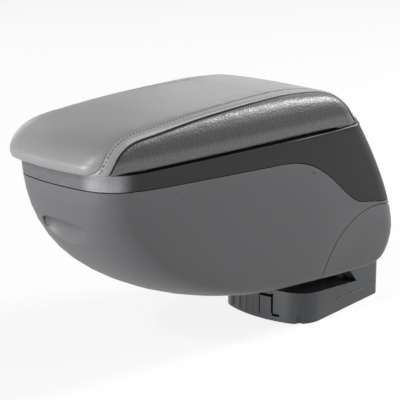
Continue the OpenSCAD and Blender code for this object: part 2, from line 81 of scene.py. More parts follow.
class Ray(enum.Enum):
    """Kinds of rays that see the surroundings as plain white."""

    CAMERA = "Is Camera Ray"
    GLOSSY = "Is Glossy Ray"
    TRANSMISSION = "Is Transmission Ray"


def to_frame(points: np.ndarray) -> np.ndarray:
    """Turns pad coordinates in millimetres into frame coordinates in metres."""
    return (np.asarray(points, float) + PAD_ORIGIN) * MM


def ease(u: np.ndarray) -> np.ndarray:
    """Smooth step from 0 to 1."""
    v = np.clip(u, 0.0, 1.0)
    return v * v * (3 - 2 * v)


def monotone(xs: Sequence[float], ys: Sequence[float]) -> Callable[[np.ndarray], np.ndarray]:
    """Makes a smooth curve through points that never swings past them.

    Args:
        xs: rising positions.
        ys: the value at each position.

    Returns:
        A function that gives the curve's value at any positions.
    """
    x0, y0 = np.asarray(xs, float), np.asarray(ys, float)
    step = np.diff(x0)
    rise = np.diff(y0) / step
    slope = np.zeros(len(x0))
    slope[0], slope[-1] = rise[0], rise[-1]
    for i in range(1, len(x0) - 1):
        if rise[i - 1] * rise[i] > 0:
            w1, w2 = 2 * step[i] + step[i - 1], step[i] + 2 * step[i - 1]
            slope[i] = (w1 + w2) / (w1 / rise[i - 1] + w2 / rise[i])

    def curve(x: np.ndarray) -> np.ndarray:
        """Follows the curve.

        Args:
            x: positions.

        Returns:
            The curve's value at each.
        """
        x = np.clip(np.asarray(x, float), x0[0], x0[-1])
        k = np.clip(np.searchsorted(x0, x, side="right") - 1, 0, len(step) - 1)
        t = (x - x0[k]) / step[k]
        s = 1 - t
        return (
            (1 + 2 * t) * s * s * y0[k]
            + t * s * s * step[k] * slope[k]
            + t * t * (3 - 2 * t) * y0[k + 1]
            - t * t * s * step[k] * slope[k + 1]
        )

    return curve


def smoothed(values: np.ndarray, passes: int) -> np.ndarray:
    """Smooths a row of points and keeps its ends.

    Args:
        values: the points, one in each row.
        passes: how often each point moves halfway to its neighbours' middle.

    Returns:
        The smoothed points.
    """
    values = values.copy()
    for _ in range(passes):
        values[1:-1] = 0.5 * values[1:-1] + 0.25 * (values[:-2] + values[2:])
    return values


@dataclass(frozen=True)
class Change:
    """A soft change by an amount that starts at a position and takes a length."""

    start: float
    length: float
    amount: float

    def at(self, y: np.ndarray) -> np.ndarray:
        """How far the change has come at positions."""
        return self.amount * ease((y - self.start) / self.length)


@dataclass(frozen=True)
class Bend:
    """A bend that grows from a position on, towards the front where its length is negative."""

    start: float
    length: float
    power: float
    amount: float

    def at(self, y: np.ndarray) -> np.ndarray:
        """How far the line has bent at positions."""
        return self.amount * np.maximum(0, (y - self.start) / self.length) ** self.power


# ---------------------------------------------------------------- materials


@dataclass(frozen=True)
class Mark:
    """A spot on a moulding, in frame millimetres: a small scuff or nick, and on the lid a painted
    highlight.
    """

    place: tuple[float, float, float]
    radius: float
    tone: float


@dataclass(frozen=True)
class PaintedStripe:
    """A painted highlight line along a moulding's edge, in frame millimetres."""

    start: tuple[float, float, float]
    end: tuple[float, float, float]
    width: float
    core: float
    fade: float
    tone: float

    def slope(self, axis: int) -> float:
        """Change of a coordinate for each millimetre of length."""
        return (self.end[axis] - self.start[axis]) / (self.end[1] - self.start[1])


class Nodes:
    """Short helpers round one node tree."""

    def __init__(self, tree: bpy.types.NodeTree) -> None:
        """Empties a node tree."""
        self.tree = tree
        tree.nodes.clear()

    def node(self, kind: str, feeds: Optional[dict[str | int, object]] = None,
             **values: object) -> bpy.types.Node:
        """Adds a node.

        Args:
            kind: the node's type name.
            feeds: sockets or constants for its inputs.
            **values: attributes of the node.

        Returns:
            The new node.
        """
        made = self.tree.nodes.new(kind)
        for key, value in values.items():
            setattr(made, key, value)
        for key, feed in (feeds or {}).items():
            if isinstance(feed, Socket):
                self.tree.links.new(feed, made.inputs[key])
            else:
                made.inputs[key].default_value = feed
        return made

    def maths(self, operation: str, *feeds: Socket | float) -> Socket:
        """Does one sum with values."""
        return self.node("ShaderNodeMath", dict(enumerate(feeds)), operation=operation).outputs[0]

    def vector(self, operation: str, *feeds: object, out: str = "Vector") -> Socket:
        """Does one sum with vectors."""
        return self.node("ShaderNodeVectorMath", dict(enumerate(feeds)), operation=operation).outputs[out]

    def white_to_eye(self, plain: Socket, kind: str, share: float) -> Socket:
        """Mixes in plain white for the rays that see the surroundings.

        Args:
            plain: the shader that lights the object.
            kind: node type of the white shader.
            share: how much of the white such rays get.

        Returns:
            The mixed shader's socket.
        """
        white = self.node(kind, {"Color": (1, 1, 1, 1), "Strength": 1.0})
        path = self.node("ShaderNodeLightPath")
        seen = functools.reduce(lambda one, two: self.maths("MAXIMUM", one, two),
                                [path.outputs[ray.value] for ray in Ray])
        part = self.maths("MULTIPLY", seen, share)
        return self.node("ShaderNodeMixShader", {0: part, 1: plain, 2: white.outputs[0]}).outputs[0]


class Graph(Nodes):
    """One material's nodes in object space."""

    def __init__(self, name: str) -> None:
        """Makes an empty material with one Principled shader.

        Args:
            name: the material's name.
        """
        self.material = bpy.data.materials.new(name)
        self.material.use_nodes = True
        super().__init__(self.material.node_tree)
        self.shader = self.node("ShaderNodeBsdfPrincipled")
        self.node("ShaderNodeOutputMaterial", {"Surface": self.shader.outputs[0]})
        self.place = self.node("ShaderNodeTexCoord").outputs["Object"]

    def coat(self, colour: Colour, tone: Socket, rough: Socket, normal: Socket) -> bpy.types.Material:
        """Gives the shader its tinted colour, roughness and relief.

        Args:
            colour: the plain colour.
            tone: the factor that it is multiplied by.
            rough: the roughness.
            normal: the relief's normal.

        Returns:
            The material.
        """
        tinted = self.node("ShaderNodeVectorMath", {0: colour, "Scale": tone}, operation="SCALE")
        for source, key in ((tinted.outputs[0], "Base Color"), (rough, "Roughness"), (normal, "Normal")):
            self.tree.links.new(source, self.shader.inputs[key])
        return self.material

    def noise(self, scale: float, detail: float = 2.0, rough: float = 0.5, out: str = "Fac") -> Socket:
        """Noise texture in object space.

        Args:
            scale: cells per metre.
            detail: octaves.
            rough: strength of the finer octaves.
            out: name of the output.

        Returns:
            The noise's socket.
        """
        feeds = {"Vector": self.place, "Scale": scale, "Detail": detail, "Roughness": rough}
        return self.node("ShaderNodeTexNoise", feeds).outputs[out]

    def shaken(self, scale: float, reach: float) -> Socket:
        """Object coordinates that are bent by noise.

        Args:
            scale: cells of the noise per metre.
            reach: how far it bends them, in millimetres.

        Returns:
            The bent coordinates.
        """
        return self.vector("MULTIPLY_ADD", self.noise(scale, out="Color"), (reach * MM,) * 3, self.place)

    def cells(self, width: float, smooth: float, wobble: float) -> Socket:
        """Rounded Voronoi cells in object space.

        Args:
            width: width of a cell in millimetres.
            smooth: rounding between the cells.
            wobble: how far noise bends the cells' borders, in millimetres.

        Returns:
            The distance socket, low at each cell's middle.
        """
        scale = 1 / (width * MM)
        feeds = {"Vector": self.shaken(scale * 0.7, wobble), "Scale": scale, "Smoothness": smooth}
        return self.node("ShaderNodeTexVoronoi", feature="SMOOTH_F1", feeds=feeds).outputs["Distance"]

    def axis(self, letter: str) -> Socket:
        """One coordinate in object space."""
        return self.node("ShaderNodeSeparateXYZ", {0: self.place}).outputs[letter]

    def spread(self, value: Socket, low: float, high: float, start: float = 0.0, end: float = 1.0,
               smooth: bool = False) -> Socket:
        """Maps a value from one range to another.

        Args:
            value: the socket to map.
            low: result at ``start``.
            high: result at ``end``.
            start: lower end of the source range.
            end: upper end of the source range.
            smooth: whether the result starts and stops softly.

        Returns:
            The mapped socket.
        """
        feeds = {"Value": value, "From Min": start, "From Max": end, "To Min": low, "To Max": high}
        kind = "SMOOTHSTEP" if smooth else "LINEAR"
        return self.node("ShaderNodeMapRange", feeds, interpolation_type=kind).outputs["Result"]

    def vary(self, noise: Socket, low: float, high: float) -> Socket:
        """Maps the usual range of a noise to another one."""
        return self.spread(noise, low, high, start=0.3, end=0.7)

    def times(self, one: Socket, two: Socket) -> Socket:
        """Multiplies two values."""
        return self.maths("MULTIPLY", one, two)

    def bump(self, height: Socket, depth: float, strength: float = 1.0,
             under: Optional[Socket] = None) -> Socket:
        """Bump from a height socket.

        Args:
            height: the relief.
            depth: its depth in millimetres.
            strength: how much of it shows.
            under: a normal that it lies on.

        Returns:
            The bumped normal.
        """
        feeds = {"Height": height, "Distance": depth * MM, "Strength": strength}
        if under is not None:
            feeds["Normal"] = under
        return self.node("ShaderNodeBump", feeds).outputs["Normal"]

    def rounded(self, radius: float) -> Socket:
        """Normal that rounds sharp edges by a radius in millimetres."""
        return self.node("ShaderNodeBevel", {"Radius": radius * MM}, samples=6).outputs["Normal"]

    def wear(self, amount: float) -> Socket:
        """Lightens convex edges a little, broken up by noise.

        Args:
            amount: how much lighter a fully rubbed edge is.

        Returns:
            The factor for the colour.
        """
        geometry = self.node("ShaderNodeNewGeometry")
        edge = self.spread(geometry.outputs["Pointiness"], 0.0, 1.0, start=0.52, end=0.62)
        rub = self.spread(self.noise(scale=90, detail=4, rough=0.7), 0.4, 1.0, start=0.35, end=0.6)
        return self.spread(self.times(edge, rub), 1.0, 1.0 + amount)

    def levels(self, tones: Sequence[tuple[float, float]]) -> Socket:
        """Tone that changes smoothly with the level.

        Args:
            tones: heights in frame millimetres, rising, each with its factor.

        Returns:
            The factor for the colour.
        """
        height = self.axis("Z")
        steps = [self.spread(height, 1.0, after / before, low * MM, high * MM, smooth=True)
                 for (low, before), (high, after) in zip(tones[:-1], tones[1:])]
        return self.spread(functools.reduce(self.times, steps), 0.0, tones[0][1])

    def painted_front_glare_tone(self, gain: float, reach: tuple[float, float], grain: Socket) -> Socket:
        """Tone of a moulding whose front end is painted lighter, a painted highlight for the glare on its
        front.

        Args:
            gain: how much lighter the front end is.
            reach: y where the painted highlight is full and where it ends, in frame millimetres.
            grain: the grain, whose peaks get the most painted highlight.

        Returns:
            The factor for the colour.
        """
        along = self.spread(self.axis("Y"), 1.0, 0.0, reach[0] * MM, reach[1] * MM, smooth=True)
        peaks = self.spread(grain, 0.75, 1.25, start=0.35, end=0.65)
        return self.spread(self.times(along, peaks), 1.0, gain)

    def painted_stripe(self, line: PaintedStripe) -> Socket:
        """Tone of a narrow painted highlight line that runs lengthwise on both sides.

        Args:
            line: where it runs and how light it is.

        Returns:
            The factor for the colour.
        """
        mirrored = self.vector("ABSOLUTE", self.vector("MULTIPLY", self.place, (1, 0, 1)))
        length = self.axis("Y")
        runs = {}
        for axis, letter in ((0, "X"), (2, "Z")):
            foot = (line.start[axis] - line.start[1] * line.slope(axis)) * MM
            runs[letter] = self.maths("MULTIPLY_ADD", length, line.slope(axis), foot)
        middle = self.node("ShaderNodeCombineXYZ", runs).outputs[0]
        gap = self.vector("DISTANCE", mirrored, middle, out="Value")
        near = self.spread(gap, 1.0, 0.0, line.core * MM, line.width * MM)
        rise = self.spread(length, 0.0, 1.0, line.start[1] * MM, (line.start[1] + line.fade) * MM)
        return self.spread(self.times(near, rise), 1.0, line.tone)

    def nicks_and_painted_spots(self, marks: Sequence[Mark], plain: Socket) -> Socket:
        """Darkens or lightens a tone at marks: small nicks, and painted highlight spots.

        Args:
            marks: the marks.
            plain: the tone without them.

        Returns:
            The tone with the marks.
        """
        reach = 0.8
        ragged = self.shaken(scale=900, reach=reach)
        for mark in marks:
            place = tuple((c + reach / 2) * MM for c in mark.place)
            gap = self.vector("DISTANCE", ragged, place, out="Value")
            radius = mark.radius * MM
            plain = self.times(plain, self.spread(gap, mark.tone, 1.0, radius * 0.5, radius))
        return plain


@dataclass(frozen=True)
class Finish:
    """A surface finish that can be made into a material once."""

    name: str
    colour: Colour
    made: ClassVar[dict[str, bpy.types.Material]] = {}

    def material(self) -> bpy.types.Material:
        """Makes the finish's material on first use.

        Returns:
            The material.
        """
        if self.name not in Finish.made:
            Finish.made[self.name] = self.paint(Graph(self.name))
        return Finish.made[self.name]

    def paint(self, graph: Graph) -> bpy.types.Material:
        """Wires the finish's nodes.

        Args:
            graph: the material's empty graph.

        Returns:
            The material.
        """
        raise NotImplementedError


@dataclass(frozen=True)
class Leather(Finish):
    """Coated leather with a pebbled or a smooth grain."""

    roughness: float
    pebble: float
    relief: float
    shine: float = 0.5
    painted_sheen_bands: tuple[tuple[float, float], ...] = ()

    def paint(self, graph: Graph) -> bpy.types.Material:
        """Wires cells, pores, soft colour drift, painted highlight and shade bands by level, and a satin
        gloss.

        Args:
            graph: the material's empty graph.

        Returns:
            The material.
        """
        cells = graph.cells(self.pebble, smooth=0.75, wobble=0.3)
        pores = graph.noise(scale=2600, rough=0.6)
        folds = graph.noise(scale=26, detail=3)
        drift = graph.vary(folds, 0.97, 1.03)
        valley = graph.spread(cells, 1.03, 0.86, start=0.1, end=0.75)
        tone = graph.times(drift, valley)
        # painted highlight and shade: the tone is banded by height
        if self.painted_sheen_bands:
            tone = graph.times(tone, graph.levels(self.painted_sheen_bands))
        rough = graph.vary(pores, self.roughness - 0.06, self.roughness + 0.08)
        pebbles = graph.spread(cells, 1.0, 0.0, start=0.05, end=0.8)
        normal = graph.bump(folds, depth=1.0, strength=0.35)
        normal = graph.bump(pebbles, self.relief, under=normal)
        normal = graph.bump(pores, self.relief * 0.35, strength=0.8, under=normal)
        graph.shader.inputs["Specular IOR Level"].default_value = self.shine
        return graph.coat(self.colour, tone, rough, normal)


@dataclass(frozen=True)
class Moulded(Finish):
    """Injection moulded plastic with a spark-eroded grain."""

    roughness: float
    grain: float
    relief: float
    edge: float = 0.35
    shine: float = 0.5
    marks: tuple[Mark, ...] = ()
    # painted highlights: a lighter front end with its reach, and a light lip line
    painted_front_glare: float = 1.0
    painted_lip_highlight: Optional[PaintedStripe] = None
    painted_glare_reach: tuple[float, float] = (-272.0, -252.0)

    def paint(self, graph: Graph) -> bpy.types.Material:
        """Wires grain, flow streaks, rounded edges, slight edge rubbing and spots, and where given a
        painted front highlight and a painted lip highlight.

        Args:
            graph: the material's empty graph.

        Returns:
            The material.
        """
        grain = graph.noise(scale=1 / (self.grain * MM), detail=3, rough=0.6)
        flow = graph.noise(scale=9)
        drift = graph.times(graph.vary(flow, 0.985, 1.015), graph.wear(0.18))
        speckle = graph.vary(grain, 0.95, 1.05)
        tone = graph.times(drift, graph.nicks_and_painted_spots(self.marks, speckle))
        # painted highlight: the front end is lightened for the glare on it
        if self.painted_front_glare != 1.0:
            tone = graph.times(tone, graph.painted_front_glare_tone(self.painted_front_glare, self.painted_glare_reach, grain))
        # painted highlight: a thin light line along the lip
        if self.painted_lip_highlight:
            tone = graph.times(tone, graph.painted_stripe(self.painted_lip_highlight))
        rough = graph.vary(grain, self.roughness - 0.05, self.roughness + 0.06)
        normal = graph.bump(grain, self.relief, under=graph.rounded(self.edge))
        graph.shader.inputs["Specular IOR Level"].default_value = self.shine
        return graph.coat(self.colour, tone, rough, normal)


@dataclass(frozen=True)
class Metal(Finish):
    """Zinc plated or sintered metal."""

    roughness: float
    metallic: float = 1.0

    def paint(self, graph: Graph) -> bpy.types.Material:
        """Wires spangle, fine scratches and rounded edges.

        Args:
            graph: the material's empty graph.

        Returns:
            The material.
        """
        spangle = graph.noise(scale=420, detail=3, rough=0.6)
        scratch = graph.noise(scale=2500, rough=0.7)
        tone = graph.times(graph.vary(spangle, 0.88, 1.1), graph.wear(0.3))
        rough = graph.vary(scratch, self.roughness - 0.07, self.roughness + 0.12)
        normal = graph.bump(scratch, depth=0.02, strength=0.6, under=graph.rounded(0.2))
        graph.shader.inputs["Metallic"].default_value = self.metallic
        return graph.coat(self.colour, tone, rough, normal)


@dataclass(frozen=True)
class Thread(Finish):
    """Twisted sewing thread."""

    def paint(self, graph: Graph) -> bpy.types.Material:
        """Wires fibre noise and a soft sheen.

        Args:
            graph: the material's empty graph.

        Returns:
            The material.
        """
        fibre = graph.noise(scale=5200, rough=0.7)
        tone = graph.vary(fibre, 0.7, 1.25)
        graph.shader.inputs["Sheen Weight"].default_value = 0.2
        return graph.coat(self.colour, tone, graph.spread(fibre, 0.6, 0.8),
                          graph.bump(fibre, depth=0.06, strength=0.8))


# painted highlight and shade on the side panels: a light band low down, a dark middle band and a light
# shoulder band under the seam; height in frame millimetres and tone
PAINTED_SHEEN_BANDS = ((176.0, 1.5), (182.0, 1.3), (188.0, 0.5), (194.0, 0.55), (199.0, 1.1), (203.0, 1.3))
CENTRE_LEATHER = Leather("leather_centre", (0.186, 0.183, 0.182), roughness=0.38, pebble=0.9,
                         relief=0.045, shine=0.45)
# painted shade: the side panels' leather is given far darker than the centre panel's, for the shade on
# the steep sides
SIDE_LEATHER_PAINTED_SHADE = Leather("leather_side_painted_shade", (0.071, 0.071, 0.070), roughness=0.36, pebble=1.5,
                       relief=0.19, shine=0.44, painted_sheen_bands=PAINTED_SHEEN_BANDS)
# painted highlight: the raised strip of centre-panel leather between the seam and the stitch row is given
# lighter than the rest of the centre panel
STRIP_LEATHER_PAINTED_HIGHLIGHT = Leather("leather_strip_painted_highlight", (0.243, 0.239, 0.238), roughness=0.42, pebble=1.0, relief=0.08)
# painted shadow: near-black leather on the faces in the seam's fold
SEAM_SHADE = Leather("leather_fold_painted_shadow", (0.012, 0.012, 0.012), roughness=0.7, pebble=0.9, relief=0.03)
SHELL_MARKS = (
    Mark((64.0, -61.6, 141.1), 1.5, 0.30), Mark((64.0, -60.4, 140.8), 1.3, 0.30),
    Mark((64.3, -52.5, 140.4), 1.1, 0.45), Mark((57.6, -213.7, 152.1), 0.9, 0.45),
    Mark((57.6, -213.7, 151.0), 0.7, 0.55), Mark((60.8, -153.8, 127.0), 0.8, 1.35))
SHELL_PLASTIC = Moulded("plastic_shell", (0.076, 0.076, 0.080), roughness=0.46, grain=0.8,
                        relief=0.012, shine=0.35, marks=SHELL_MARKS)
# painted highlight: a large light spot on the lid's front corner
LID_CORNER_PAINTED_HIGHLIGHT = (Mark((49.5, -279.0, 168.0), 22.0, 2.5),)
# painted highlight: a thin light line along the lid's rear lip
LID_LIP_PAINTED_HIGHLIGHT = PaintedStripe((64.9, -95.0, 173.4), (66.1, -10.0, 174.7), width=1.6, core=0.96, fade=60.0, tone=26.0)
# painted shade: the lid, the same plastic as the box, is given a far darker colour; its front end and lip
# are painted lighter again
LID_PLASTIC_PAINTED_SHADE = Moulded("plastic_lid_painted_shade", (0.0150, 0.0152, 0.0163), roughness=0.45, grain=0.9, relief=0.02,
                      edge=0.45, shine=0.22, marks=LID_CORNER_PAINTED_HIGHLIGHT, painted_front_glare=5.3, painted_lip_highlight=LID_LIP_PAINTED_HIGHLIGHT)
ADAPTER_PLASTIC = Moulded("plastic_adapter", (0.021, 0.0225, 0.025), roughness=0.34, grain=0.8,
                          relief=0.01, edge=0.6)
BOARD_PLASTIC = Moulded("plastic_board", (0.020, 0.020, 0.021), roughness=0.6, grain=0.8, relief=0.04)
BUSH_PLASTIC = Moulded("plastic_bush", (0.75, 0.75, 0.72), roughness=0.4, grain=0.9, relief=0.02)
RUBBER = Moulded("rubber_black", (0.022, 0.022, 0.023), roughness=0.75, grain=0.7, relief=0.05)
STEEL = Metal("steel_zinc", (0.62, 0.63, 0.65), roughness=0.34)
MAGNET = Metal("magnet_black", (0.10, 0.10, 0.11), roughness=0.45, metallic=0.8)
THREAD = Thread("thread_grey", (0.030, 0.030, 0.031))

# ---------------------------------------------------------------- meshes


def mesh_object(name: str, points: np.ndarray, faces: Iterable[Sequence[int]],
                finishes: Sequence[Finish], tags: Optional[Sequence[int]] = None) -> bpy.types.Object:
    """Makes a smooth shaded mesh object.

    Args:
        name: the piece's name.
        points: vertices in pad coordinates, in millimetres.
        faces: vertex numbers of each face.
        finishes: the finishes that the face tags count through.
        tags: the finish number of each face, all 0 if none.

    Returns:
        The object, linked to the scene.
    """
    data = bpy.data.meshes.new(name)
    data.from_pydata([tuple(p) for p in to_frame(points)], [], [tuple(int(i) for i in f) for f in faces])
    for finish in finishes:
        data.materials.append(finish.material())
    if tags is not None:
        data.polygons.foreach_set("material_index", np.asarray(tags, np.int32))
    data.polygons.foreach_set("use_smooth", np.ones(len(data.polygons), bool))
    data.update()
    made = bpy.data.objects.new(name, data)
    bpy.context.scene.collection.objects.link(made)
    return made


def point_normals(points: np.ndarray, faces: np.ndarray) -> np.ndarray:
    """Area weighted unit normals of a triangle mesh's vertices.

    Args:
        points: the vertices.
        faces: the triangles.

    Returns:
        One normal for each vertex.
    """
    a, b, c = (points[faces[:, i]] for i in range(3))
    cross = np.cross(b - a, c - a)
    total = np.zeros_like(points)
    for i in range(3):
        np.add.at(total, faces[:, i], cross)
    return total / np.maximum(np.linalg.norm(total, axis=1, keepdims=True), 1e-12)


def skin_of(points: np.ndarray, faces: np.ndarray) -> BVHTree:
    """Search tree over a triangle mesh."""
    return BVHTree.FromPolygons([tuple(p) for p in points], [tuple(map(int, f)) for f in faces])


@dataclass
class TriangleSheet:
    """A triangle mesh that can be cut along the level lines of a field."""

    points: np.ndarray
    faces: np.ndarray
    field_values: np.ndarray

    def cut(self, level: float, snap: float = 0.06) -> None:
        """Splits the triangles where the field passes a level.

        Args:
            level: the field's value on the new line of edges.
            snap: vertices nearer than this to the level count as on it.
        """
        f = self.field_values - level
        f[np.abs(f) < snap] = 0.0
        sign = np.sign(f)[self.faces]
        crossing = (sign.max(1) > 0) & (sign.min(1) < 0)
        new_points: list[np.ndarray] = []
        known: dict[tuple[int, int], int] = {}

        def between(i: int, j: int) -> int:
            """Vertex on an edge at the level.

            Args:
                i: the edge's one end.
                j: its other end.

            Returns:
                The vertex's number.
            """
            key = (min(i, j), max(i, j))
            if key not in known:
                t = f[key[0]] / (f[key[0]] - f[key[1]])
                known[key] = len(self.points) + len(new_points)
                new_points.append(self.points[key[0]] * (1 - t) + self.points[key[1]] * t)
            return known[key]

        made: list[tuple[int, int, int]] = []
        for tri in self.faces[crossing]:
            values = [f[i] for i in tri]
            if 0.0 in values:
                k = values.index(0.0)
                a, b, c = (int(tri[(k + i) % 3]) for i in range(3))
                m = between(b, c)
                made += [(a, b, m), (a, m, c)]
                continue
            k = next(i for i, v in enumerate(values) if v * values[i - 1] < 0 and v * values[i - 2] < 0)
            a, b, c = (int(tri[(k + i) % 3]) for i in range(3))
            m, n = between(a, b), between(a, c)
            made += [(a, m, n), (m, b, c), (m, c, n)]
        if made:
            self.faces = np.vstack([self.faces[~crossing], np.array(made)])
            self.points = np.vstack([self.points, np.array(new_points)])
            self.field_values = np.concatenate([self.field_values, np.full(len(new_points), level)])


# ---------------------------------------------------------------- the pad


@dataclass
class PadForm:
    """Smooth outer form of the pad, the same as the CAD pad's rings."""

    width_front: float = 57.0
    width_rear: float = 67.5
    bulge: float = 0.5
    overhang: float = 13.5
    rear: float = 293.0
    apex: float = 160.0
    # half angles of the bowed ends in degrees
    bow_front: float = 11.0
    bow_rear: float = 10.0
    # corner radius at the widest ring, and what it loses for each millimetre of inset
    corner_front: tuple[float, float] = (24.0, 0.2)
    corner_rear: tuple[float, float] = (22.0, 0.15)
    corner_least: float = 8.0
    lift: tuple[Change, ...] = (Change(-5.0, 45.0, -3.2), Change(240.0, 50.0, 1.6))
    crown: float = 33.5
    falls: tuple[Bend, ...] = (Bend(150.0, -160.0, 1.8, 8.0), Bend(190.0, 60.0, 1.5, 5.1))
    skirt: float = 2.4
    skirt_end: Change = Change(2.0, 28.0, 1.0)
    hem: Change = Change(232.0, 36.0, 1.2)
    # ring position and share of skirt and hem
    roll: tuple[tuple[float, float], ...] = ((0.0, 0.35), (0.5, 1.0), (1.2, 0.9), (2.6, 0.25), (4.0, 0.0))
    corner_steps: int = 14
    side_steps: int = 80
    bow_steps: int = 8
    # first and last ring position and number of rings
    spans: tuple[tuple[float, float, int], ...] = ((0, 1, 5), (1, 8, 64), (8, 9, 22))
    heights: tuple[float, ...] = (0.01, 0.08, 0.25, 0.5, 0.7, 0.84, 0.92, 0.965, 0.99)
    widths: tuple[float, ...] = (0.952, 0.99, 1.0, 0.995, 0.975, 0.93, 0.86, 0.74, 0.5)
    front_insets: tuple[float, ...] = (5.5, 1.0, 0.0, 4.0, 11.0, 20.0, 31.0, 50.0, 82.0)
    rear_insets: tuple[float, ...] = (5.5, 0.5, 7.0, 14.0, 21.5, 28.0, 34.5, 45.0, 66.0)

    def underside(self, y: np.ndarray) -> np.ndarray:
        """Level of the pad's lower edge at length positions."""
        return sum(change.at(y) for change in self.lift)

    def top(self, y: np.ndarray) -> np.ndarray:
        """Level of the crown line at length positions."""
        return functools.reduce(lambda level, bend: level - bend.at(y), self.falls, self.crown)

    def half_plan(self, front: float, rear: float, w_front: float, w_rear: float,
                  r_front: float, r_rear: float) -> np.ndarray:
        """Right half of a rounded outline with bowed ends.

        Args:
            front: y of the front end.
            rear: y of the rear end.
            w_front: half width at the front.
            w_rear: half width at the rear.
            r_front: radius of the front corner.
            r_rear: radius of the rear corner.

        Returns:
            Points from the front centre to the rear centre.
        """
        af, ar = math.radians(self.bow_front), math.radians(self.bow_rear)
        s = math.atan((w_rear - w_front) / (rear - front))
        cx = w_front - r_front * math.cos(s)
        big_f = (cx + r_front * math.sin(af)) / math.sin(af)
        cy = front + big_f * (1 - math.cos(af)) + r_front * math.cos(af)
        dx = w_rear - r_rear * math.cos(s)
        big_r = (dx + r_rear * math.sin(ar)) / math.sin(ar)
        dy = rear - big_r * (1 - math.cos(ar)) - r_rear * math.cos(ar)
        e = (cx + r_front * math.cos(s), cy - r_front * math.sin(s))
        g = (dx + r_rear * math.cos(s), dy - r_rear * math.sin(s))
        nb, nc, ns = self.bow_steps, self.corner_steps, self.side_steps
        points = []
        for a in (af * i / nb for i in range(nb + 1)):
            points.append((big_f * math.sin(a), front + big_f * (1 - math.cos(a))))
        for a in (af + (math.pi / 2 - s - af) * i / nc for i in range(1, nc + 1)):
            points.append((cx + r_front * math.sin(a), cy - r_front * math.cos(a)))
        for u in (i / ns for i in range(1, ns)):
            swell = 4 * self.bulge * u * (1 - u)
            points.append((e[0] + (g[0] - e[0]) * u + swell, e[1] + (g[1] - e[1]) * u))
        for a in (-s + (math.pi / 2 - ar + s) * i / nc for i in range(nc + 1)):
            points.append((dx + r_rear * math.cos(a), dy + r_rear * math.sin(a)))
        for a in (ar * i / nb for i in range(nb - 1, -1, -1)):
            points.append((big_r * math.sin(a), rear - big_r * (1 - math.cos(a))))
        return np.array(points)

    def ring(self, k: float) -> np.ndarray:
        """Right half of the ring at position k, from 0 at the lower edge to 9 at the apex.

        Args:
            k: the ring's position.

        Returns:
            Points in pad coordinates, from the front centre to the rear centre.
        """
        last = len(self.heights) - 1
        at = min(k, last)
        h, s, f, r = (float(monotone(range(last + 1), t)(at)) for t in
                      (self.heights, self.widths, self.front_insets, self.rear_insets))
        corners = (max(self.corner_least, radius - inset * loss) for inset, (radius, loss) in
                   ((f, self.corner_front), (r, self.corner_rear)))
        plan = self.half_plan(f - self.overhang, self.rear - r, self.width_front * s,
                              self.width_rear * s, *corners)
        if k > last:
            plan = plan * (last + 1 - k) + np.array([0, self.apex]) * (k - last)
            h += (1 - self.heights[last]) * (k - last)
        y = plan[:, 1]
        low, high = self.underside(y), self.top(y)
        share = monotone(*zip(*self.roll))(at)
        droop = share * (self.skirt * (1 - self.skirt_end.at(y)) + self.hem.at(y))
        return np.column_stack([plan, low + (high - low) * h - droop])

    def sheet(self) -> tuple[np.ndarray, np.ndarray]:
        """Triangle mesh of the whole form, closed underneath.

        Returns:
            Points in pad coordinates and the triangles.
        """
        rows = np.concatenate([np.linspace(*span)[int(span[0] > 0):] for span in self.spans])[:-1]
        half = [self.ring(k) for k in rows]
        rings = [np.vstack([h, h[-2:0:-1] * np.array([-1, 1, 1])]) for h in half]
        n = len(rings[0])
        summit = self.ring(self.spans[-1][1])[0, 2]
        points = np.vstack(rings + [np.array([[0, self.apex, summit]])])
        faces: list[tuple[int, int, int]] = []
        for k in range(len(rings) - 1):
            for i in range(n):
                j = (i + 1) % n
                a, b = k * n, (k + 1) * n
                faces += [(a + i, a + j, b + j), (a + i, b + j, b + i)]
        last = (len(rings) - 1) * n
        faces += [(last + i, last + (i + 1) % n, len(points) - 1) for i in range(n)]
        for i in range(n // 2):
            a, b, c, d = i, i + 1, n - i - 1, (n - i) % n
            if a != d:
                faces.append((a, d, c))
            if b != c:
                faces.append((a, c, b))
        return points, np.array(faces)


